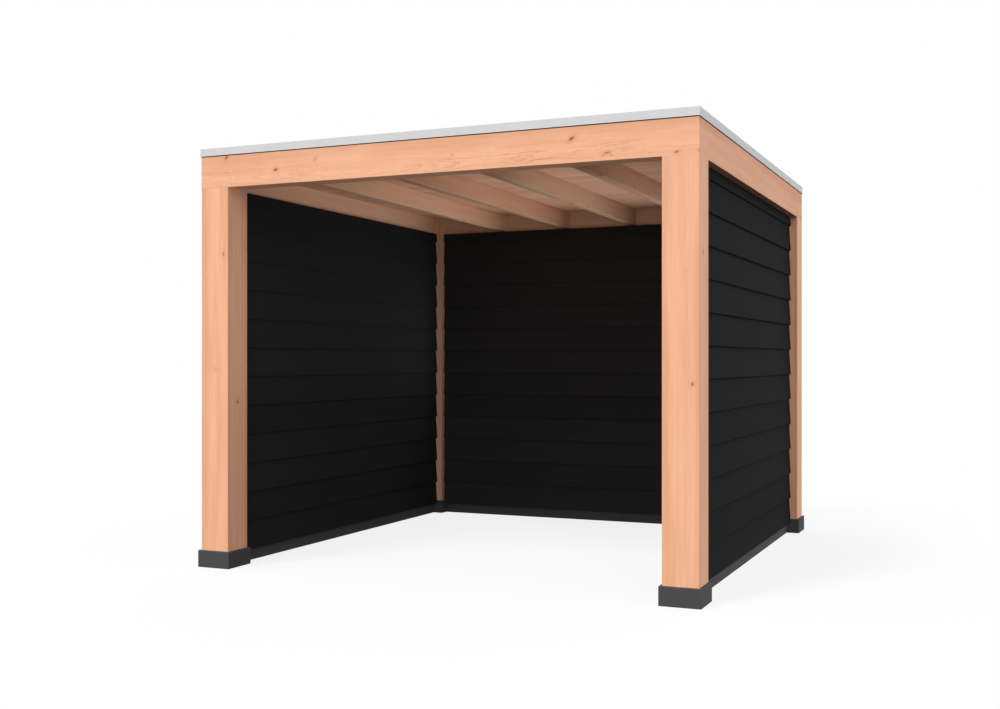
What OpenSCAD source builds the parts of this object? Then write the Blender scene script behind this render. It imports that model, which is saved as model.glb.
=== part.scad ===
// Flat-roofed garden canopy: four square posts on block feet carry a ring of mitred beams,
// rafters and a boarded roof, with three double-clad board walls and an open front.
// Millimetres, +Z up, front towards -Y. The origin is on the ground at the middle of the plan.

/* [Overall] */
// Width over the outer faces of the posts
canopy_w = 3000; // [2400:10:4200]
// Depth over the outer faces of the posts
canopy_d = 3000; // [2400:10:4200]
// Height from the ground to the underside of the beams
clear_h = 2238; // [2000:1:2600]

/* [Posts and feet] */
// Side of a square post
post_s = 190; // [165:1:260]
// How far a block foot stands out past its post on every side
foot_proud = 15; // [5:1:40]
// Height of the block feet, and of the plinths between them
foot_h = 100; // [60:1:160]

/* [Beams] */
// Thickness of a ring beam, flush with the outer faces of the posts
beam_t = 120; // [90:1:145]
// Height of a ring beam
beam_h = 210; // [190:1:260]

/* [Roof] */
// Width of a rafter
rafter_w = 52; // [38:1:90]
// Depth of a rafter
rafter_h = 120; // [90:1:150]
// Distance between the centre lines of two rafters
rafter_pitch = 532; // [350:1:580]
// How far the underside of the rafters lies above the underside of the beams
rafter_rise = 7; // [0:1:25]
// Thickness of the roof boards
deck_t = 18; // [15:1:22]
// Thickness of the roof membrane
membrane_t = 2; // [1:0.5:4]

/* [Roof edge trim] */
// Height of the trim's face
trim_face_h = 45; // [35:1:70]
// How far the face hangs down over the beam
trim_drop = 20; // [8:1:30]
// Width of the flange that lies on the beam
trim_flange_w = 60; // [40:1:80]
// Width of the return along the top of the face
trim_lip_w = 9; // [5:1:20]
// Thickness of the trim's metal
trim_t = 2; // [1.5:0.5:3]
// Drip gap between the trim's face and the beam
trim_gap = 2.5; // [1:0.5:6]

/* [Walls] */
// Distance from the outer face of a post to the outermost edge of the outer boards
wall_setback = 45; // [5:1:45]
// Thickness of the stud frame and of the plinth below it
frame_t = 57; // [40:1:65]
// Width of a stud or plate, seen from the front of the wall
stud_w = 45; // [35:1:70]
// Largest distance between two stud centres
stud_pitch = 660; // [400:10:900]
// Height of a board that shows
board_pitch = 175.3; // [120:0.1:220]
// Thickness of a board at its lower edge
board_butt_t = 25; // [18:1:30]
// Thickness of a board where the next one laps over it
board_top_t = 13; // [8:1:16]
// How far the lowest board hangs down over the plinth
board_drop = 27.5; // [10:0.5:50]
// Gap between the boards and the posts or feet beside them
board_gap = 2; // [1:0.5:6]

/* [Hidden] */
corners = [
    ["front_left", -1, -1],
    ["front_right", 1, -1],
    ["back_left", -1, 1],
    ["back_right", 1, 1],
];
sides = ["front", "right", "back", "left"];
wall_sides = [1, 2, 3];
rafter_count = 4;

timber = [0.91, 0.69, 0.54];
shaded_timber = [0.72, 0.53, 0.42];
black_stain = [0.10, 0.10, 0.10];
concrete = [0.29, 0.29, 0.29];
aluminium = [0.83, 0.84, 0.85];
rubber = [0.15, 0.15, 0.16];

// Levels
beam_top = clear_h + beam_h;
rafter_z = clear_h + rafter_rise;
deck_z = rafter_z + rafter_h;
deck_top = deck_z + deck_t;
trim_z = beam_top - trim_drop;
cladding_z = foot_h - board_drop;

// Plan sizes inside the ring of beams
inner_w = canopy_w - 2 * beam_t;
inner_d = canopy_d - 2 * beam_t;

// Wall layers, measured inwards from the outer faces of the posts
frame_y = wall_setback + board_butt_t;
frame_back_y = frame_y + frame_t;

// Length of a side, and its distance from the middle: front 0, right 1, back 2, left 3
function side_run(side) = side % 2 == 0 ? canopy_w : canopy_d;
function side_dist(side) = (side % 2 == 0 ? canopy_d : canopy_w) / 2;
function wall_run(side) = side_run(side) - 2 * post_s;

// Outline of a stack of lapped boards: thickness away from the studs, then height
function lapped_boards() =
    let (count = ceil((clear_h - cladding_z) / board_pitch))
    concat(
        [[0, cladding_z]],
        [for (i = [0:count - 1])
            let (
                low = cladding_z + i * board_pitch,
                high = min(low + board_pitch, clear_h),
                thinning = (board_butt_t - board_top_t) * (high - low) / board_pitch
            )
            each [[board_butt_t, low], [board_butt_t - thinning, high]]],
        [[0, clear_h]]
    );

// Local frame of a corner: x and y run inwards from the post's outer edge
module at_corner(corner)
    translate([corner[1] * canopy_w / 2, corner[2] * canopy_d / 2, 0])
        mirror([corner[1] > 0 ? 1 : 0, 0, 0])
            mirror([0, corner[2] > 0 ? 1 : 0, 0])
                children();

// Local frame of a side: x runs along it and y inwards from the outer faces of its posts
module at_side(side)
    rotate([0, 0, 90 * side])
        translate([0, -side_dist(side), 0])
            children();

// Straight bar along a side with both ends cut to meet the bars round the corner
module mitred_bar(side, y_out, y_in, z_low, z_high)
    let (half = side_run(side) / 2)
    translate([0, 0, z_low])
        linear_extrude(z_high - z_low)
            polygon([
                [-half + y_out, y_out],
                [half - y_out, y_out],
                [half - y_in, y_in],
                [-half + y_in, y_in],
            ]);

// Block that is centred on the local x and y axes and stands on z_low
module block(w, d, z_low, z_high)
    translate([-w / 2, -d / 2, z_low])
        cube([w, d, z_high - z_low]);

module foot(corner)
    color(concrete)
        at_corner(corner)
            translate([-foot_proud, -foot_proud, 0])
                cube([post_s + 2 * foot_proud, post_s + 2 * foot_proud, foot_h]);

// Full section up to the beams, then the inner quarter goes on up to the roof boards
module post(corner)
    color(timber)
        at_corner(corner) {
            translate([0, 0, foot_h])
                cube([post_s, post_s, clear_h - foot_h]);
            translate([beam_t, beam_t, foot_h])
                cube([post_s - beam_t, post_s - beam_t, deck_z - foot_h]);
        }

module beam(side)
    color(timber)
        at_side(side)
            mitred_bar(side, 0, beam_t, clear_h, beam_top);

module rafter(i)
    color(shaded_timber)
        translate([(i - (rafter_count + 1) / 2) * rafter_pitch, 0, 0])
            block(rafter_w, inner_d, rafter_z, deck_z);

module roof_deck()
    color(timber)
        block(inner_w, inner_d, deck_z, deck_top);

// Sheet that lies on the boards, climbs the beams and laps over their top to the trim
module roof_membrane()
    color(rubber)
        difference() {
            union() {
                block(inner_w, inner_d, deck_top, beam_top);
                block(
                    canopy_w - 2 * trim_flange_w,
                    canopy_d - 2 * trim_flange_w,
                    beam_top,
                    beam_top + membrane_t
                );
            }
            block(
                inner_w - 2 * membrane_t,
                inner_d - 2 * membrane_t,
                deck_top + membrane_t,
                beam_top + 2 * membrane_t
            );
        }

// Face with a drip gap, a flange that is fixed to the beam and a return along the top
module trim(side)
    let (y_out = -trim_gap - trim_t, trim_top = trim_z + trim_face_h)
    color(aluminium)
        at_side(side) {
            mitred_bar(side, y_out, -trim_gap, trim_z, trim_top);
            mitred_bar(side, y_out, trim_flange_w, beam_top, beam_top + trim_t);
            mitred_bar(side, y_out, y_out + trim_lip_w, trim_top - trim_t, trim_top);
        }

module plinth(side)
    color(concrete)
        at_side(side)
            translate([0, (frame_y + frame_back_y) / 2, 0])
                block(wall_run(side) - 2 * foot_proud, frame_t, 0, foot_h);

// Bottom plate, top plate and evenly spaced studs, closed in by the boards
module wall_frame(side)
    let (
        run = wall_run(side),
        bays = ceil((run - stud_w) / stud_pitch),
        step = (run - stud_w) / bays
    )
    color(shaded_timber)
        at_side(side)
            translate([0, (frame_y + frame_back_y) / 2, 0]) {
                block(run, frame_t, foot_h, foot_h + stud_w);
                block(run, frame_t, clear_h - stud_w, clear_h);
                for (i = [0:bays])
                    translate([(i - bays / 2) * step, 0, 0])
                        block(stud_w, frame_t, foot_h, clear_h);
            }

// Lapped boards between two posts, notched round the feet: back at y, thickness towards way
module cladding(side, y, way)
    let (
        run = wall_run(side) - 2 * board_gap,
        notch_w = foot_proud + board_gap,
        notch_top = foot_h + board_gap
    )
    color(black_stain)
        at_side(side)
            difference() {
                translate([-run / 2, 0, 0])
                    rotate([90, 0, 90])
                        linear_extrude(run)
                            polygon([for (p = lapped_boards()) [y + way * p[0], p[1]]]);
                for (end = [-1, 1])
                    translate([end * wall_run(side) / 2, y, 0])
                        block(2 * notch_w, 4 * board_butt_t, 0, notch_top);
            }

module cladding_outer(side)
    cladding(side, frame_y, -1);

module cladding_inner(side)
    cladding(side, frame_back_y, 1);

for (corner = corners) {
    foot(corner);
    post(corner);
}
for (i = [0:3]) {
    beam(i);
    trim(i);
}
for (i = [1:rafter_count]) {
    rafter(i);
}
roof_deck();
roof_membrane();
for (i = wall_sides) {
    plinth(i);
    wall_frame(i);
    cladding_outer(i);
    cladding_inner(i);
}
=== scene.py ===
import math
import random

import bmesh
import bpy
from mathutils import Matrix, Vector, noise


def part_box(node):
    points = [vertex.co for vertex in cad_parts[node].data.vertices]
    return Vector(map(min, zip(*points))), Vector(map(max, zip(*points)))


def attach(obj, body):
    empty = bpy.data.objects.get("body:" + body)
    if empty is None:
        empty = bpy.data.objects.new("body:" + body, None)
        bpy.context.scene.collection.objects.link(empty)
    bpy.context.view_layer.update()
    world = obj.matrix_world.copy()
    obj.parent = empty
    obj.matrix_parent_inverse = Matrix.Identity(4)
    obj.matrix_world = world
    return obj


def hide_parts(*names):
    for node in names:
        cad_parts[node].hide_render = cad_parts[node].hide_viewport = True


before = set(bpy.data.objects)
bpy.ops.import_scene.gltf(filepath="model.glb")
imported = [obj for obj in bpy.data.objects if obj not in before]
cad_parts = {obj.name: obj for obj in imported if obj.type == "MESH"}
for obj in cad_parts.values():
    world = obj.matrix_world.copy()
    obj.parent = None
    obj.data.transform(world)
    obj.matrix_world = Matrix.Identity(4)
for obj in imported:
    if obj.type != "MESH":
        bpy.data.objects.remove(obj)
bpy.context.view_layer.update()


# Block feet: square blocks of anthracite concrete, one under each post, that keep the timber dry.
# They are cast in a smooth mould: the arrises come out rounded, a little worn and pale, the faces clouded,
# and a few air holes show. The posts stand on them and are pinned from below.


class Socket:
    """An output of a shader node. Arithmetic on it adds Math nodes to the finish that it belongs to."""

    def __init__(self, finish, output):
        self.finish = finish
        self.output = output

    def math(self, operation, *values):
        return self.finish.node("Math", {"operation": operation}, dict(enumerate(values)))

    def __add__(self, other):
        return self.math("ADD", self, other)

    def __sub__(self, other):
        return self.math("SUBTRACT", self, other)

    def __rsub__(self, other):
        return self.math("SUBTRACT", other, self)

    def __mul__(self, other):
        return self.math("MULTIPLY", self, other)

    def __truediv__(self, other):
        return self.math("DIVIDE", self, other)

    def __rtruediv__(self, other):
        return self.math("DIVIDE", other, self)

    def __pow__(self, other):
        return self.math("POWER", self, other)

    def __abs__(self):
        return self.math("ABSOLUTE", self)

    __radd__ = __add__
    __rmul__ = __mul__


class Finish:
    """The node tree of one material, or of the world."""

    def __init__(self, owner):
        owner.use_nodes = True
        self.owner = owner
        self.tree = owner.node_tree
        self.tree.nodes.clear()

    def node(self, kind, settings=None, sockets=None, out=0):
        """Adds a node: its settings come first, then the values or links of its sockets."""
        node = self.tree.nodes.new("ShaderNode" + kind)
        for name, value in (settings or {}).items():
            setattr(node, name, value)
        for name, value in (sockets or {}).items():
            if isinstance(value, Socket):
                self.tree.links.new(value.output, node.inputs[name])
            else:
                node.inputs[name].default_value = value
        if node.outputs:
            return Socket(self, node.outputs[out])

    def axes(self, vector):
        return [self.node("SeparateXYZ", sockets={"Vector": vector}, out=axis) for axis in "XYZ"]

    def noise(self, place, scale=1.0, detail=2.0, roughness=0.5, out="Fac"):
        sockets = {"Vector": place, "Scale": scale, "Detail": detail, "Roughness": roughness}
        return self.node("TexNoise", sockets=sockets, out=out)

    def band(self, value, start, end):
        """0 at start and 1 at end, with a smooth rise between them."""
        sockets = {"Value": value, "From Min": start, "From Max": end}
        return self.node("MapRange", {"interpolation_type": "SMOOTHSTEP"}, sockets)

    def blend(self, first, second, share):
        return self.node("Mix", {"data_type": "RGBA"}, {0: share, 6: first, 7: second}, 2)

    def shade(self, colour, factor):
        return self.node("VectorMath", {"operation": "SCALE"}, {0: colour, "Scale": factor})

    def surface(self, colour, roughness, height, depth, **fixed):
        """Ends the material: height is a bump of that depth in metres, fixed are sockets with one value."""
        bump = self.node("Bump", sockets={"Height": height, "Distance": depth})
        sockets = {"Base Color": colour, "Roughness": roughness, "Normal": bump}
        shader = self.node("BsdfPrincipled", sockets={**sockets, **fixed})
        self.node("OutputMaterial", sockets={"Surface": shader})
        return self.owner


def eased_copy(node, radius, eased):
    """A merged copy of a CAD node, with the outer edges that eased() picks rounded to radius."""
    bm = bmesh.new()
    bm.from_mesh(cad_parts[node].data)
    bmesh.ops.remove_doubles(bm, verts=bm.verts, dist=1e-5)
    bmesh.ops.dissolve_limit(bm, angle_limit=math.radians(1.0), verts=bm.verts, edges=bm.edges)
    picked = [edge for edge in bm.edges if edge.is_convex and eased(edge)]
    rounded = bmesh.ops.bevel(
        bm, geom=picked, offset=radius, segments=3, profile=0.5, affect="EDGES", material=-1
    )
    for face in rounded["faces"]:
        face.smooth = True
    return bm


def piece(name, bm, material, slot, *nodes):
    """Makes an object of bm, which rides on the one body and stands for CAD nodes."""
    mesh = bpy.data.meshes.new(name)
    bm.to_mesh(mesh)
    bm.free()
    mesh.materials.append(material)
    made = bpy.data.objects.new(name, mesh)
    bpy.context.scene.collection.objects.link(made)
    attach(made, "root")
    if nodes:
        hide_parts(*nodes)
    return made


def cast_concrete(name, centre, half):
    """Through-coloured concrete for blocks that mirror each other about the two middle planes."""
    deep_grey = (0.045, 0.046, 0.046, 1)
    pale_grey = (0.065, 0.065, 0.066, 1)
    worn_grey = (0.135, 0.135, 0.134, 1)
    hole_black = (0.020, 0.020, 0.021, 1)
    worn_w = 0.007
    sand_depth = 0.0006
    concrete = Finish(bpy.data.materials.new(name))
    spot = concrete.node("TexCoord", out="Object")
    clouding = concrete.noise(spot, 8.0, detail=4.0, roughness=0.6)
    sand = concrete.noise(spot, 700.0, roughness=0.7)
    cell = {"Vector": spot, "Scale": 90.0}
    hole_size = concrete.axes(concrete.node("TexVoronoi", sockets=cell, out="Color"))[0]
    hole_middle = concrete.node("TexVoronoi", sockets=cell, out="Distance")
    hole = concrete.band(hole_middle, 0.20, 0.12) * concrete.band(hole_size, 0.88, 0.90)
    away = [
        side - abs(abs(axis) - middle)
        for axis, middle, side in zip(concrete.axes(spot), centre, half)
    ]
    shorter = away[0].math("MINIMUM", away[0], away[1])
    longer = away[0].math("MAXIMUM", away[0], away[1])
    from_arris = away[0].math("MAXIMUM", shorter, longer.math("MINIMUM", longer, away[2]))
    worn = concrete.band(from_arris + 0.004 * clouding, worn_w, 0.001)
    colour = concrete.blend(deep_grey, pale_grey, clouding)
    colour = concrete.shade(colour, 0.90 + 0.20 * sand)
    colour = concrete.blend(colour, worn_grey, 0.45 * worn)
    colour = concrete.blend(colour, hole_black, hole)
    roughness = 0.74 + 0.16 * clouding
    height = sand - 2.0 * hole
    return concrete.surface(colour, roughness, height, sand_depth, **{"Specular IOR Level": 0.3})


corners = ("front_left", "front_right", "back_left", "back_right")
foot_arris = 0.004
foot_low, foot_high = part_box("foot_back_right")
foot_middle = (foot_low + foot_high) / 2
foot_concrete = cast_concrete("anthracite_foot_concrete", foot_middle, foot_high - foot_middle)
for corner in corners:
    foot = eased_copy("foot_" + corner, foot_arris, lambda edge: True)
    piece("block_foot_" + corner, foot, foot_concrete, "foot_concrete", "foot_" + corner)


# Plinths: low anthracite concrete strips on the ground between the feet, under the three closed walls.
# They come from the same mould shop as the feet and are laid dry; the wall frames are screwed down to them.
walls = ("right", "back", "left")
plinth_arris = 0.003
for wall in walls:
    plinth_low, plinth_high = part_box("plinth_" + wall)
    middle = (plinth_low + plinth_high) / 2
    strip_concrete = cast_concrete(
        "anthracite_plinth_concrete_" + wall,
        (abs(middle.x), abs(middle.y), middle.z),
        (plinth_high - plinth_low) / 2,
    )
    strip = eased_copy("plinth_" + wall, plinth_arris, lambda edge: True)
    piece("plinth_strip_" + wall, strip, strip_concrete, "foot_concrete", "plinth_" + wall)


# Posts: planed softwood, 190 mm square with the heart boxed in, left without stain or varnish.
# The top is cut back so that the ring beams sit on it and the inner quarter runs up between them.
# The arrises are eased with a hand plane. Each face is pale along its middle, rosier towards the arrises.


def timber(name, along, pith, section, figure, colours, knots=(), start=0.0, boards=None):
    """Planed softwood with its grain along one axis. pith is the log's middle and section the middle and
    half width of the timber, both on the two other axes. A knot is a place, a reach on each axis, a depth
    of colour and a turn. start is the place in the log, and boards are an axis, a start and a width: each
    board then has a figure of its own."""
    log_run = 7.0
    pith_wander = 0.055
    fibre_depth = 0.0005
    wood = Finish(bpy.data.materials.new(name))
    spot = wood.node("TexCoord", out="Object")
    across = [axis for axis in range(3) if axis != along]
    place = wood.axes(spot)
    lot_tone = 0.5
    if boards:
        board_axis, first, width = boards
        board = (place[board_axis] - first) / width
        board = board.math("FLOOR", board)
        lot = wood.node("TexWhiteNoise", {"noise_dimensions": "1D"}, {"W": board}, "Color")
        lot_shift, lot_heart, lot_tone = wood.axes(lot)
        place[board_axis] = place[board_axis] - first - (board + 0.2 + 0.6 * lot_shift) * width
        place[along] = place[along] + log_run * lot_heart
        spot = wood.node("CombineXYZ", sockets=dict(zip("XYZ", place)))

    def stretched(lengthwise, crosswise):
        scale = [crosswise] * 3
        scale[along] = lengthwise
        sockets = {"Vector": spot, "Location": (start, start, start), "Scale": scale}
        return wood.node("Mapping", sockets=sockets)

    wander = wood.axes(wood.noise(stretched(0.55, 0.0), detail=1.0, out="Color"))
    wave = wood.noise(stretched(2.2, 4.0))
    ripple = wood.noise(stretched(12.0, 60.0))
    streak = wood.noise(stretched(1.1, 20.0), detail=3.0, roughness=0.55)
    cloud = wood.noise(stretched(4.0, 9.0), detail=3.0, roughness=0.6)
    fleck = wood.noise(stretched(3.0, 120.0))
    fibre = wood.noise(stretched(9.0, 1100.0), roughness=0.6)

    flow, halo, core = 0.0, 0.0, 0.0
    for knot_place, reach, depth, turn in knots:
        offset = wood.node(
            "Mapping",
            {"vector_type": "TEXTURE"},
            {"Vector": spot, "Location": knot_place, "Rotation": turn, "Scale": reach},
        )
        away = wood.node("VectorMath", {"operation": "LENGTH"}, {0: offset}, "Value")
        away = away + 0.9 * (ripple - 0.5)
        fade = away.math("EXPONENT", -0.30 * away * away)
        flow = flow + min(reach) * fade
        halo = halo + depth * fade
        core = core + depth * wood.band(away, 1.15, 0.45)

    offsets = [
        place[axis] - middle + pith_wander * (pull - 0.5)
        for axis, middle, pull in zip(across, pith, wander)
    ]
    radius = (offsets[0] * offsets[0] + offsets[1] * offsets[1]) ** 0.5
    radius = radius + figure["wave"] * (wave - 0.5) + figure["ripple"] * (ripple - 0.5) + flow
    ring = radius / figure["ring"]
    year = ring.math("FLOOR", ring)
    season = ring - year
    year_tone = wood.node("TexWhiteNoise", {"noise_dimensions": "1D"}, {"W": year}, "Value")
    late = wood.band(season, 0.35, 0.90) * wood.band(season, 1.0, 0.93) * (0.25 + 0.75 * year_tone)
    late = late * wood.band(cloud + 0.25 * (streak - 0.5), 0.30, 0.56)

    from_faces = [
        half - abs(place[axis] - middle) for axis, (middle, half) in zip(across, section)
    ]
    from_arris = from_faces[0].math("MAXIMUM", *from_faces)
    rubbed = wood.band(from_arris + 0.003 * fleck, 0.005, 0.0015)

    inner, outer = figure["sapwood"]
    sapwood = wood.band(radius + 0.06 * (streak - 0.5) + 0.04 * (cloud - 0.5), inner, outer)
    rosy = 0.62 * sapwood + 0.38 * wood.band(streak, 0.38, 0.64)
    colour = wood.blend(colours["pale"], colours["rosy"], rosy)
    colour = wood.blend(colour, colours["late"], figure["lines"] * late)
    colour = wood.shade(colour, 0.90 + 0.06 * fibre + 0.06 * fleck + 0.08 * cloud)
    colour = wood.blend(colour, colours["rubbed"], 0.25 * rubbed)
    colour = wood.blend(colour, colours["halo"], 0.40 * halo)
    colour = wood.blend(colour, colours["knot"], 0.90 * core)
    if boards:
        colour = wood.shade(colour, 0.90 + 0.18 * lot_tone)
    height = 0.6 * fibre + 0.4 * late + 0.5 * core
    roughness = 0.64 - 0.12 * late + 0.08 * fibre
    return wood.surface(colour, roughness, height, fibre_depth, **{"Specular IOR Level": figure["gloss"]})


def scattered_knots(node, along, count, draw):
    """Knots at random places on the long sides of a CAD node that look left or back."""
    knot_run_in = 0.03
    low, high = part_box(node)
    knots = []
    for number in range(count):
        place = [draw.uniform(low[axis], high[axis]) for axis in range(3)]
        axis = draw.choice([axis for axis in (0, 1) if axis != along])
        place[axis] = (low, high)[axis][axis]
        size = draw.uniform(0.006, 0.011)
        reach = [size] * 3
        reach[along] = size * draw.uniform(1.2, 2.0)
        reach[axis] = knot_run_in
        knots.append((place, reach, draw.uniform(0.3, 0.9), straight))
    return knots


def tinted(colours, tint):
    """The same colours scaled channel by channel by a tint; the tints given to it are painted light."""
    return {
        part: tuple(tone * share for tone, share in zip(colour, (*tint, 1)))
        for part, colour in colours.items()
    }


draw = random.Random(12)
straight = (0.0, 0.0, 0.0)
planed_colours = {
    "pale": (0.860, 0.460, 0.280, 1),
    "rosy": (0.765, 0.370, 0.214, 1),
    "late": (0.600, 0.265, 0.140, 1),
    "rubbed": (0.880, 0.520, 0.350, 1),
    "halo": (0.620, 0.200, 0.070, 1),
    "knot": (0.340, 0.072, 0.020, 1),
}
post_figure = {
    "ring": 0.0085,
    "lines": 0.16,
    "wave": 0.014,
    "ripple": 0.0031,
    "sapwood": (0.094, 0.126),
    "gloss": 0.35,
}
# painted light: the back left post, in the shaded inside corner, is made paler and less red
post_painted_light_tints = {"back_left": (1.06, 1.20, 1.26)}
post_pith_x = 0.006
post_pith_y = -0.004
post_start = 3.0
post_start_step = 5.0
post_arris = 0.003
shortest_arris = 0.05
post_knots = {
    "front_left": [
        ((-1.342, -1.500, 1.846), (0.005, 0.030, 0.013), 0.75, (0.0, 0.15, 0.0)),
        ((-1.397, -1.500, 1.166), (0.009, 0.030, 0.015), 0.16, (0.0, -0.7, 0.0)),
        ((-1.310, -1.407, 0.975), (0.030, 0.010, 0.011), 0.95, straight),
    ],
    "front_right": [
        ((1.433, -1.500, 1.662), (0.008, 0.030, 0.008), 0.12, straight),
        ((1.466, -1.500, 1.106), (0.007, 0.030, 0.012), 0.85, straight),
        ((1.500, -1.420, 1.763), (0.030, 0.009, 0.012), 0.70, straight),
    ],
}
for number, corner in enumerate(corners):
    post_low, post_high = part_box("post_" + corner)
    post_middle = (post_low + post_high) / 2
    post_half = post_high - post_middle
    knots = post_knots.get(corner, []) + scattered_knots("post_" + corner, 2, 4, draw)
    post_timber = timber(
        "post_timber_" + corner,
        2,
        (post_middle.x + post_pith_x, post_middle.y + post_pith_y),
        ((post_middle.x, post_half.x), (post_middle.y, post_half.y)),
        post_figure,
        tinted(planed_colours, post_painted_light_tints.get(corner, (1.0, 1.0, 1.0))),
        knots,
        post_start + post_start_step * number,
    )
    post = eased_copy(
        "post_" + corner,
        post_arris,
        lambda edge: abs((edge.verts[0].co - edge.verts[1].co).z) > shortest_arris,
    )
    piece("planed_post_" + corner, post, post_timber, "timber", "post_" + corner)


# Ring beams: four planed softwood beams laid on the posts, flush with their outer faces.
# The corners are cut to a mitre and screwed from inside, so no fixing shows. The figure on the faces is
# the flat cut of a log whose heart lies behind the face. The right, back and left beams are tinted less red
# than the front one: painted light, standing in for the light on their faces.
sides = ("front", "right", "back", "left")
beam_lines = {"front": 0.88, "right": 0.16, "back": 0.40, "left": 0.16}
beam_gloss = {"front": 0.35, "right": 0.0, "back": 0.35, "left": 0.35}
# painted light: tints that stand in for the light on each beam's faces
beam_painted_light_tints = {
    "front": (1.0, 1.0, 1.0),
    "right": (1.00, 1.08, 1.21),
    "back": (0.96, 1.16, 1.22),
    "left": (1.0, 1.12, 1.15),
}
beam_arris = 0.0012
long_edge = 1.0
beam_figure = {"ring": 0.0035, "wave": 0.018, "ripple": 0.0068, "sapwood": (0.085, 0.150)}
beam_heart_share = 0.985
beam_heart_rise = 0.055
beam_start = 31.0
beam_start_step = 4.0
front_beam_knots = [
    ((-1.321, -1.500, 2.413), (0.018, 0.030, 0.010), 0.80, (0.0, -0.85, 0.0)),
    ((-0.978, -1.500, 2.320), (0.015, 0.030, 0.010), 0.90, (0.0, -0.30, 0.0)),
    ((-0.711, -1.500, 2.362), (0.018, 0.030, 0.011), 0.26, (0.0, -0.70, 0.0)),
    ((0.151, -1.500, 2.323), (0.008, 0.030, 0.006), 0.20, straight),
    ((0.832, -1.500, 2.363), (0.021, 0.030, 0.010), 0.95, (0.0, -0.55, 0.0)),
    ((1.026, -1.500, 2.277), (0.018, 0.030, 0.006), 0.80, (0.0, -0.10, 0.0)),
    ((1.387, -1.500, 2.257), (0.014, 0.030, 0.006), 0.80, (0.0, -0.30, 0.0)),
    ((1.500, -1.500, 2.256), (0.006, 0.006, 0.010), 0.55, straight),
]
for number, side in enumerate(sides):
    beam_low, beam_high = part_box("beam_" + side)
    beam_middle = (beam_low + beam_high) / 2
    beam_half = beam_high - beam_middle
    run = 0 if side in ("front", "back") else 1
    depth = 1 - run
    knots = scattered_knots("beam_" + side, run, 4, draw)
    if side == "front":
        knots = knots + front_beam_knots
    heart = beam_middle[depth] * beam_heart_share
    beam_timber = timber(
        "beam_timber_" + side,
        run,
        (heart, beam_low.z + beam_heart_rise),
        ((beam_middle[depth], beam_half[depth]), (beam_middle.z, beam_half.z)),
        {**beam_figure, "lines": beam_lines[side], "gloss": beam_gloss[side]},
        tinted(planed_colours, beam_painted_light_tints[side]),
        knots,
        beam_start + beam_start_step * number,
    )
    beam = eased_copy(
        "beam_" + side,
        beam_arris,
        lambda edge: abs((edge.verts[0].co - edge.verts[1].co)[run]) > long_edge,
    )
    piece("mitred_beam_" + side, beam, beam_timber, "timber", "beam_" + side)


# Rafters: four planed softwood joists between the front and the back beam, screwed through the beams.
# They carry the roof boards and lie a little above the underside of the beams. Their tints are painted
# light and shade: rafter 1 at the left is made paler, rafters 2 to 4 darker, and all of them less red.
rafter_arris = 0.003
rafter_figure = {
    "ring": 0.0060,
    "lines": 0.25,
    "wave": 0.018,
    "ripple": 0.0040,
    "sapwood": (0.050, 0.110),
    "gloss": 0.0,
}
rafter_pith_x = 0.05
rafter_pith_z = -0.03
rafter_start = 60.0
rafter_start_step = 3.0
rafter_knots = {
    3: [((0.292, 0.300, 2.258), (0.030, 0.010, 0.006), 0.80, straight)],
    4: [
        ((0.824, -1.004, 2.248), (0.030, 0.008, 0.007), 1.00, straight),
        ((0.824, -0.385, 2.266), (0.030, 0.010, 0.007), 0.35, straight),
    ],
}
# painted light and shade: a tint for each rafter that copies how it is lit under the roof
rafter_painted_light_tints = {
    1: (0.99, 1.12, 1.12),
    2: (0.80, 0.84, 0.85),
    3: (0.72, 0.81, 0.85),
    4: (0.79, 0.85, 0.88),
}
for number, tint in rafter_painted_light_tints.items():
    rafter = f"rafter_{number}"
    rafter_low, rafter_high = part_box(rafter)
    rafter_middle = (rafter_low + rafter_high) / 2
    rafter_half = rafter_high - rafter_middle
    knots = rafter_knots.get(number, []) + scattered_knots(rafter, 1, 2, draw)
    rafter_timber = timber(
        f"rafter_timber_{number}",
        1,
        (rafter_middle.x + rafter_pith_x, rafter_middle.z + rafter_pith_z),
        ((rafter_middle.x, rafter_half.x), (rafter_middle.z, rafter_half.z)),
        rafter_figure,
        tinted(planed_colours, tint),
        knots,
        rafter_start + rafter_start_step * number,
    )
    joist = eased_copy(
        rafter,
        rafter_arris,
        lambda edge: abs((edge.verts[0].co - edge.verts[1].co).y) > long_edge,
    )
    piece("planed_" + rafter, joist, rafter_timber, "timber", rafter)


# Roof boards: planed tongued boards laid across the rafters from side to side and nailed down from above.
# Seen from below, each long edge has a small chamfer, and the boards differ a little in tone.
deck_low, deck_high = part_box("roof_deck")
deck_middle = (deck_low + deck_high) / 2
deck_size = deck_high - deck_low
deck_board_count = 23
deck_board_w = deck_size.y / deck_board_count
deck_joint = 0.0006
deck_chamfer = 0.002
bm = bmesh.new()
for number in range(deck_board_count):
    board = bmesh.ops.create_cube(bm, size=1.0)["verts"]
    bmesh.ops.scale(bm, verts=board, vec=(deck_size.x, deck_board_w - deck_joint, deck_size.z))
    board_y = deck_low.y + (number + 0.5) * deck_board_w
    bmesh.ops.translate(bm, verts=board, vec=(deck_middle.x, board_y, deck_middle.z))
    lower = {vert for vert in board if vert.co.z < deck_middle.z}
    lower_edges = [
        edge
        for edge in bm.edges
        if lower.issuperset(edge.verts) and edge.calc_length() > long_edge
    ]
    bmesh.ops.bevel(
        bm,
        geom=lower_edges,
        offset=deck_chamfer,
        segments=1,
        profile=0.5,
        affect="EDGES",
        material=-1,
    )
deck_figure = {
    "ring": 0.0055,
    "lines": 0.22,
    "wave": 0.012,
    "ripple": 0.0026,
    "sapwood": (0.030, 0.090),
    "gloss": 0.35,
}
deck_pith_rise = 0.045
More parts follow.
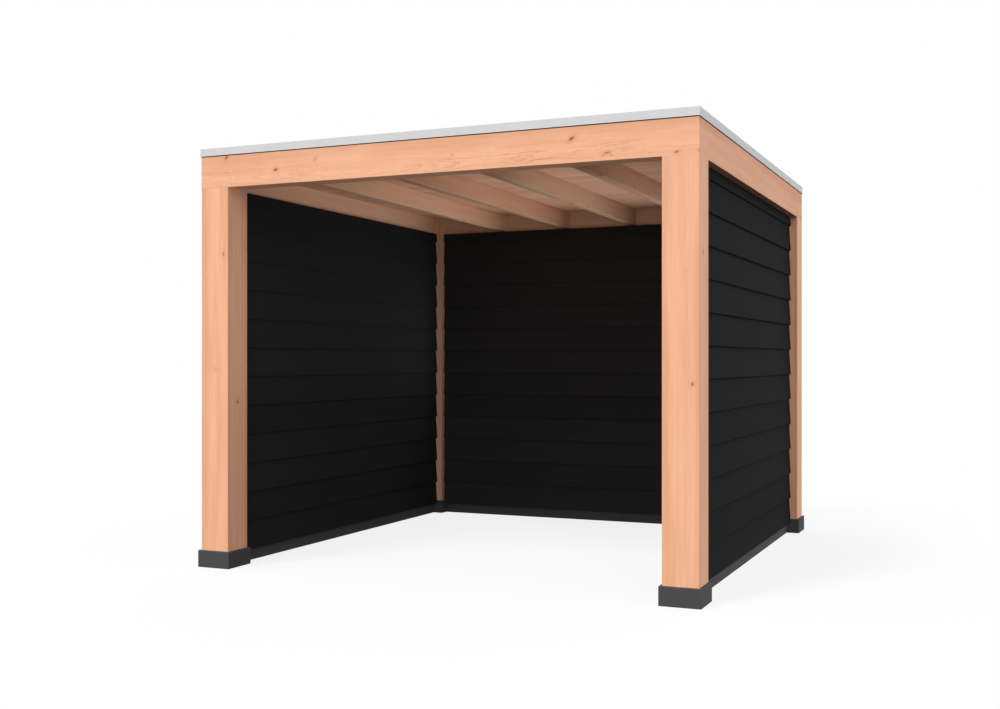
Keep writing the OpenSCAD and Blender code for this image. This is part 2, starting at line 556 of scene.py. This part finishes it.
no_arris = (0.0, 1.0)
deck_start = 80.0
# painted light: a little less red than the posts' colours, to offset the reddish light bounced about under
# the roof
deck_painted_light_colours = {
    **planed_colours,
    "pale": (0.855, 0.478, 0.292, 1),
    "rosy": (0.770, 0.404, 0.240, 1),
    "late": (0.605, 0.292, 0.164, 1),
}
deck_timber = timber(
    "roof_board_timber",
    0,
    (0.0, deck_middle.z + deck_pith_rise),
    (no_arris, (deck_middle.z, deck_size.z / 2)),
    deck_figure,
    deck_painted_light_colours,
    start=deck_start,
    boards=(1, deck_low.y, deck_board_w),
)
piece("roof_boards", bm, deck_timber, "roof_boards", "roof_deck")


# Roofing sheet: one black rubber sheet glued to the roof boards, turned up the beams and over their tops.
# It lies a little wavy over the board joints and carries a film of dust. A strip of the same rubber hangs
# down the outer faces of the beams behind the trim; its lower edge below the trim is painted shade, a dark
# line that stands in for the trim's shadow on the beam.
sheet_low, sheet_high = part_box("roof_membrane")
sheet_t = 0.002
sheet_cells = 70
sheet_wave_h = 0.0016
sheet_waves = 9.0
tray_w = deck_size.x - 2 * sheet_t
tray_d = deck_size.y - 2 * sheet_t
tray_z = deck_high.z + sheet_t
bm = bmesh.new()
bmesh.ops.create_grid(bm, x_segments=sheet_cells, y_segments=sheet_cells, size=0.5)
bmesh.ops.scale(bm, verts=bm.verts, vec=(tray_w, tray_d, 1.0))
bmesh.ops.translate(bm, verts=bm.verts, vec=(0.0, 0.0, tray_z))
border = [edge for edge in bm.edges if edge.is_boundary]
on_border = {vert for edge in border for vert in edge.verts}
for vert in bm.verts:
    if vert not in on_border:
        vert.co.z += sheet_wave_h * abs(noise.noise(vert.co * sheet_waves))
for grow_x, grow_y, top in (
    (1.0, 1.0, sheet_high.z),
    (2 * sheet_high.x / tray_w, 2 * sheet_high.y / tray_d, sheet_high.z),
):
    turned = bmesh.ops.extrude_edge_only(bm, edges=border)["geom"]
    edge_verts = [item for item in turned if isinstance(item, bmesh.types.BMVert)]
    border = [item for item in turned if isinstance(item, bmesh.types.BMEdge)]
    border = [edge for edge in border if edge.is_boundary]
    bmesh.ops.scale(bm, verts=edge_verts, vec=(grow_x, grow_y, 1.0))
    for vert in edge_verts:
        vert.co.z = top
bmesh.ops.recalc_face_normals(bm, faces=bm.faces)
bmesh.ops.solidify(bm, geom=bm.faces, thickness=sheet_t)
clean_black = (0.016, 0.016, 0.017, 1)
dusty_black = (0.036, 0.035, 0.033, 1)
grit_depth = 0.0003
rubber = Finish(bpy.data.materials.new("black_roofing_rubber"))
spot = rubber.node("TexCoord", out="Object")
dust = rubber.noise(spot, 3.5, detail=5.0, roughness=0.65)
grit = rubber.noise(spot, 420.0)
colour = rubber.blend(clean_black, dusty_black, rubber.band(dust, 0.45, 0.75))
colour = rubber.shade(colour, 0.85 + 0.3 * grit)
roughness = 0.60 + 0.25 * dust
rubber_sheet = rubber.surface(colour, roughness, grit, grit_depth, **{"Specular IOR Level": 0.3})
piece("roofing_sheet", bm, rubber_sheet, "membrane", "roof_membrane")

# painted shade: the strip shows below the trim as a dark line in place of the trim's shadow
strip_t = 0.0012
shadow_line_show = 0.004
beam_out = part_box("beam_right")[1].x
beam_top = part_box("beam_right")[1].z
strip_h = beam_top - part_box("trim_right")[0].z + shadow_line_show
bm = bmesh.new()
bmesh.ops.create_grid(bm, x_segments=1, y_segments=1, size=beam_out + strip_t)
bmesh.ops.inset_region(bm, faces=bm.faces, thickness=strip_t, use_boundary=True, use_even_offset=True)
middle_face = [max(bm.faces, key=lambda face: face.calc_area())]
bmesh.ops.delete(bm, geom=middle_face, context="FACES")
grown = bmesh.ops.extrude_face_region(bm, geom=bm.faces)["geom"]
hung = [item for item in grown if isinstance(item, bmesh.types.BMVert)]
bmesh.ops.translate(bm, verts=hung, vec=(0.0, 0.0, -strip_h))
bmesh.ops.translate(bm, verts=bm.verts, vec=(0.0, 0.0, beam_top))
bmesh.ops.recalc_face_normals(bm, faces=bm.faces)
piece("shadow_line_edge_strip", bm, rubber_sheet, "membrane")


# Roof edge trim: pressed aluminium lengths with a pale grey satin powder coat, mitred at the corners.
# A flange lies on the beam along the sheet's edge and is screwed down every 300 mm; the face hangs clear of
# the beam as a drip edge and is turned in along the top.
trim_t = 0.002
trim_fold = 0.0006
dull_grey = (0.570, 0.572, 0.576, 1)
clear_grey = (0.625, 0.627, 0.631, 1)
peel_depth = 0.0001
coat = Finish(bpy.data.materials.new("pale_grey_powder_coat"))
spot = coat.node("TexCoord", out="Object")
peel = coat.noise(spot, 500.0)
smear = coat.noise(spot, 5.0, detail=3.0)
colour = coat.blend(dull_grey, clear_grey, smear)
roughness = 0.42 + 0.08 * peel + 0.08 * smear
powder_coat = coat.surface(colour, roughness, peel, peel_depth)
for side in sides:
    run = 0 if side in ("front", "back") else 1
    length = eased_copy(
        "trim_" + side,
        trim_fold,
        lambda edge: abs((edge.verts[0].co - edge.verts[1].co)[run]) > long_edge,
    )
    piece("roof_edge_trim_" + side, length, powder_coat, "trim_metal", "trim_" + side)

screw_head = 0.0045
screw_crown = 0.7 * screw_head
screw_h = 0.0025
screw_step = 0.300
screw_inset = 0.030
screws_a_side = 10
screw_line = beam_out - screw_inset
flange_top = beam_top + trim_t
brush_depth = 0.0001
bm = bmesh.new()
for quarter in range(4):
    turn = Matrix.Rotation(quarter * math.pi / 2, 4, "Z")
    for number in range(screws_a_side):
        along = (number - (screws_a_side - 1) / 2) * screw_step
        place = Matrix.Translation((along, -screw_line, flange_top + screw_h / 2))
        bmesh.ops.create_cone(
            bm,
            cap_ends=True,
            segments=12,
            radius1=screw_head,
            radius2=screw_crown,
            depth=screw_h,
            matrix=turn @ place,
        )
steel = Finish(bpy.data.materials.new("stainless_screws"))
brushed = steel.noise(steel.node("TexCoord", out="Object"), 900.0)
roughness = 0.28 + 0.12 * brushed
bright_steel = steel.surface((0.52, 0.52, 0.53, 1), roughness, brushed, brush_depth, Metallic=1.0)
piece("trim_screws", bm, bright_steel, "trim_metal")


# Wall frames: sawn softwood studs between a bottom and a top plate, set between the posts.
# They are closed in by the boards on both sides, so only their finish is given here.
early_wood = (0.66, 0.43, 0.25, 1)
late_wood = (0.52, 0.30, 0.15, 1)
saw_depth = 0.0008
sawn = Finish(bpy.data.materials.new("sawn_stud_timber"))
spot = sawn.node("TexCoord", out="Object")
along_stud = sawn.node("Mapping", sockets={"Vector": spot, "Scale": (60.0, 60.0, 2.0)})
across_stud = sawn.node("Mapping", sockets={"Vector": spot, "Scale": (9.0, 9.0, 300.0)})
rings = sawn.noise(along_stud, detail=3.0)
saw_marks = sawn.noise(across_stud)
colour = sawn.blend(early_wood, late_wood, sawn.band(rings, 0.4, 0.7))
roughness = 0.75 + 0.15 * saw_marks
sawn_timber = sawn.surface(colour, roughness, saw_marks + rings, saw_depth)
for wall in walls:
    stud_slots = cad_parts["wall_frame_" + wall].material_slots
    for stud_slot in stud_slots:
        stud_slot.material = sawn_timber


# Lapped boards: sawn softwood boards, stained black, thick at the lower edge and thin at the top, with a
# rebate behind the lower edge that fits over the board below. Both faces of a wall are boarded from below;
# the lowest board hangs over the plinth, cut out round the feet. The inner boards are stained paler, the
# back wall's palest: painted light that lifts the shaded inside. Below each lap of the outer boards the
# colour is darkened: painted shade.
boards_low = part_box("cladding_outer_back")[0].z
board_show = 0.1753
board_top_t = 0.013
board_lap = 0.020
lap_clearance = 0.0005
board_arris = 0.002
board_gap = 0.002
facing = {"right": Vector((1, 0, 0)), "back": Vector((0, 1, 0)), "left": Vector((-1, 0, 0))}


def black_stain(name, along, tone, lap_shade_share):
    """Black stain of one tone on sawn boards that lie along one axis, with a painted shade just under each
    lap.
    """
    deep = (0.87 * tone, 0.88 * tone, 0.88 * tone, 1)
    thin = (1.13 * tone, 1.14 * tone, 1.16 * tone, 1)
    grain_depth = 0.0006
    stain = Finish(bpy.data.materials.new(name))
    spot = stain.node("TexCoord", out="Object")

    def stretched(lengthwise, crosswise, upright):
        scale = [crosswise] * 2 + [upright]
        scale[along] = lengthwise
        return stain.node("Mapping", sockets={"Vector": spot, "Scale": scale})

    board = (stain.axes(spot)[2] - boards_low) / board_show
    height_share = board.math("FRACT", board)
    board = board.math("FLOOR", board)
    lot = stain.node("TexWhiteNoise", {"noise_dimensions": "1D"}, {"W": board}, "Value")
    streak = stain.noise(stretched(1.2, 30.0, 34.0), detail=3.0, roughness=0.6)
    fibre = stain.noise(stretched(9.0, 500.0, 500.0), roughness=0.6)
    saw_marks = stain.noise(stretched(240.0, 12.0, 12.0))
    # painted shade: a dark band at the top of each board's visible face, just under the lap of the board
    # above
    lap_shade_band = stain.band(height_share, 0.955, 0.970)
    colour = stain.blend(deep, thin, streak)
    colour = stain.shade(colour, (0.88 + 0.14 * lot + 0.16 * fibre) * (1.0 - lap_shade_share * lap_shade_band))
    height = 0.7 * fibre + 0.3 * saw_marks
    roughness = 0.76 + 0.10 * streak + 0.08 * fibre
    return stain.surface(colour, roughness, height, grain_depth, **{"Specular IOR Level": 0.04})


# tone and lap shade share of each skin and run: the paler inner tones are painted light, the lap shade is
# painted shade
stain_tones_and_painted_light = {
    ("outer", 0): (0.0109, 0.6),
    ("outer", 1): (0.0109, 0.6),
    ("inner", 0): (0.0285, 0.0),
    ("inner", 1): (0.0185, 0.0),
}
stains = {
    (skin, along): black_stain(f"black_stain_{skin}_{'xy'[along]}", along, tone, lap_shade_share)
    for (skin, along), (tone, lap_shade_share) in stain_tones_and_painted_light.items()
}
foot_cut_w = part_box("cladding_outer_back")[1].x - foot_low.x + board_gap
foot_cut_z = foot_high.z + board_gap


def lapped_board(bm, run, low, high, butt_t, first, last):
    """One board along x, its back on y = 0. The lowest one has no rebate, but is cut out at both ends."""
    taper = (butt_t - board_top_t) / board_show
    top = high if last else high + board_lap - lap_clearance
    top_t = butt_t - taper * (top - low)
    if first:
        outline = [
            (-run / 2, 0.0, foot_cut_z),
            (-run / 2 + foot_cut_w, 0.0, foot_cut_z),
            (-run / 2 + foot_cut_w, 0.0, low),
            (run / 2 - foot_cut_w, 0.0, low),
            (run / 2 - foot_cut_w, 0.0, foot_cut_z),
            (run / 2, 0.0, foot_cut_z),
            (run / 2, 0.0, top),
            (-run / 2, 0.0, top),
        ]
    else:
        lap_t = board_top_t + lap_clearance
        outline = [
            (-run / 2, 0.0, top),
            (-run / 2, 0.0, low + board_lap),
            (-run / 2, lap_t, low + board_lap),
            (-run / 2, lap_t, low),
            (-run / 2, butt_t, low),
            (-run / 2, top_t, top),
        ]
    face = bm.faces.new([bm.verts.new(point) for point in outline])
    grown = bmesh.ops.extrude_face_region(bm, geom=[face])["geom"]
    far = [item for item in grown if isinstance(item, bmesh.types.BMVert)]
    if first:
        for vert in far:
            vert.co.y = butt_t - taper * (vert.co.z - low)
    else:
        bmesh.ops.translate(bm, verts=far, vec=(run, 0.0, 0.0))
    board = {*far, *face.verts}
    nearly = 1e-6
    butt_edge = {vert for vert in board if abs(vert.co.z - low) < nearly and vert.co.y > butt_t - nearly}
    bmesh.ops.bevel(
        bm,
        geom=[edge for edge in bm.edges if butt_edge.issuperset(edge.verts)],
        offset=board_arris,
        segments=2,
        profile=0.5,
        affect="EDGES",
        material=-1,
    )


for wall in walls:
    for skin, way in (("outer", 1), ("inner", -1)):
        node = f"cladding_{skin}_{wall}"
        low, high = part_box(node)
        out = way * facing[wall]
        along = 0 if wall == "back" else 1
        depth = 1 - along
        run = high[along] - low[along]
        butt_t = high[depth] - low[depth]
        back = Vector((0.0, 0.0, 0.0))
        back[depth] = low[depth] if out[depth] > 0 else high[depth]
        turn = Matrix.Rotation(math.atan2(out.y, out.x) - math.pi / 2, 4, "Z")
        count = math.ceil((high.z - low.z) / board_show)
        bm = bmesh.new()
        for number in range(count):
            board_low = low.z + number * board_show
            board_high = min(board_low + board_show, high.z)
            lapped_board(bm, run, board_low, board_high, butt_t, number == 0, number == count - 1)
        bmesh.ops.recalc_face_normals(bm, faces=bm.faces)
        bmesh.ops.transform(bm, matrix=Matrix.Translation(back) @ turn, verts=bm.verts)
        piece(f"lapped_boards_{skin}_{wall}", bm, stains[skin, along], "black_boards", node)


# Floor, light and camera: a plain pale floor that fades into a white background, soft light from all sides
# but not from overhead, one lamp high in front and three dim panels inside that lift the roof's underside.
# The camera stands where the photograph was taken from.
floor_half = 40.0
floor_drop = 0.0005
floor_for_light = (0.06, 0.06, 0.06, 1)
floor_as_seen = (0.80, 0.80, 0.80, 1)
floor_white = 0.84
fade_from = 2.0
fade_to = 4.5
bm = bmesh.new()
bmesh.ops.create_grid(bm, x_segments=1, y_segments=1, size=floor_half)
bmesh.ops.translate(bm, verts=bm.verts, vec=(0.0, 0.0, -floor_drop))
floor_mesh = bpy.data.meshes.new("studio_floor")
bm.to_mesh(floor_mesh)
bm.free()
floor = bpy.data.objects.new("studio_floor", floor_mesh)
bpy.context.scene.collection.objects.link(floor)
pale = Finish(bpy.data.materials.new("pale_floor"))
seen = pale.node("LightPath", out="Is Camera Ray") + pale.node("LightPath", out="Is Glossy Ray")
seen = seen + pale.node("LightPath", out="Is Transmission Ray")
floor_x, floor_y = pale.axes(pale.node("TexCoord", out="Object"))[:2]
far = pale.band((floor_x * floor_x + floor_y * floor_y) ** 0.5, fade_from, fade_to)
floor_colour = pale.blend(floor_for_light, floor_as_seen, seen)
matt = pale.node("BsdfDiffuse", sockets={"Color": floor_colour})
white = pale.node("Emission", sockets={"Color": (1, 1, 1, 1), "Strength": 1.0})
white_share = floor_white + (1.0 - floor_white) * far
ground = pale.node("MixShader", sockets={0: white_share * seen, 1: matt, 2: white})
pale.node("OutputMaterial", sockets={"Surface": ground})
floor_mesh.materials.append(pale.owner)

soft_strength = 1.44
overhead_from = 0.77
overhead_to = 0.90
studio = Finish(bpy.data.worlds.new("studio"))
seen = studio.node("LightPath", out="Is Camera Ray") + studio.node("LightPath", out="Is Glossy Ray")
seen = seen + studio.node("LightPath", out="Is Transmission Ray")
upward = studio.axes(studio.node("TexCoord", out="Generated"))[2]
sky_strength = soft_strength * (1.0 - studio.band(upward, overhead_from, overhead_to))
soft = studio.node("Background", sockets={"Color": (1, 1, 1, 1), "Strength": sky_strength})
white = studio.node("Background", sockets={"Color": (1, 1, 1, 1), "Strength": 1.0})
backdrop = studio.node("MixShader", sockets={0: seen, 1: soft, 2: white})
studio.node("OutputWorld", sockets={"Surface": backdrop})
bpy.context.scene.world = studio.owner

key = bpy.data.lights.new("high_front_lamp", "SUN")
key.energy = 1.76
key.angle = math.radians(14.0)
key_lamp = bpy.data.objects.new("high_front_lamp", key)
key_lamp.location = (-3.4, -7.3, 9.2)
key_lamp.rotation_euler = (-key_lamp.location).to_track_quat("-Z", "Y").to_euler()
bpy.context.scene.collection.objects.link(key_lamp)

fill_colour = (0.92, 1.01, 1.09)
for name, place, aim, size, spread, watts in (
    ("right_fill_panel", (0.97, -0.20, 1.30), (-0.82, 0.0, 0.57), (1.7, 1.2), 100, 4.2),
    ("side_fill_panel", (1.31, -0.20, 1.55), (-1.0, 0.0, 0.0), (1.7, 1.1), 180, 3.1),
    ("back_fill_panel", (0.0, 1.31, 1.40), (0.0, -1.0, 0.0), (2.3, 1.0), 180, 9.5),
):
    fill = bpy.data.lights.new(name, "AREA")
    fill.shape = "RECTANGLE"
    fill.size, fill.size_y = size
    fill.spread = math.radians(spread)
    fill.energy = watts
    fill.color = fill_colour
    fill_panel = bpy.data.objects.new(name, fill)
    fill_panel.location = place
    fill_panel.rotation_euler = Vector(aim).to_track_quat("-Z", "Y").to_euler()
    fill_panel.visible_camera = False
    fill_panel.visible_glossy = False
    bpy.context.scene.collection.objects.link(fill_panel)

lens = bpy.data.cameras.new("camera")
lens.sensor_width = 36.0
lens.lens = 42.79
lens.shift_y = 0.00596
camera = bpy.data.objects.new("camera", lens)
camera.location = (2.9436, -7.2464, 1.2221)
camera.rotation_euler = (math.radians(90.0), 0.0, math.radians(23.619))
bpy.context.scene.collection.objects.link(camera)
bpy.context.scene.camera = camera
bpy.context.scene.view_settings.view_transform = "Standard"
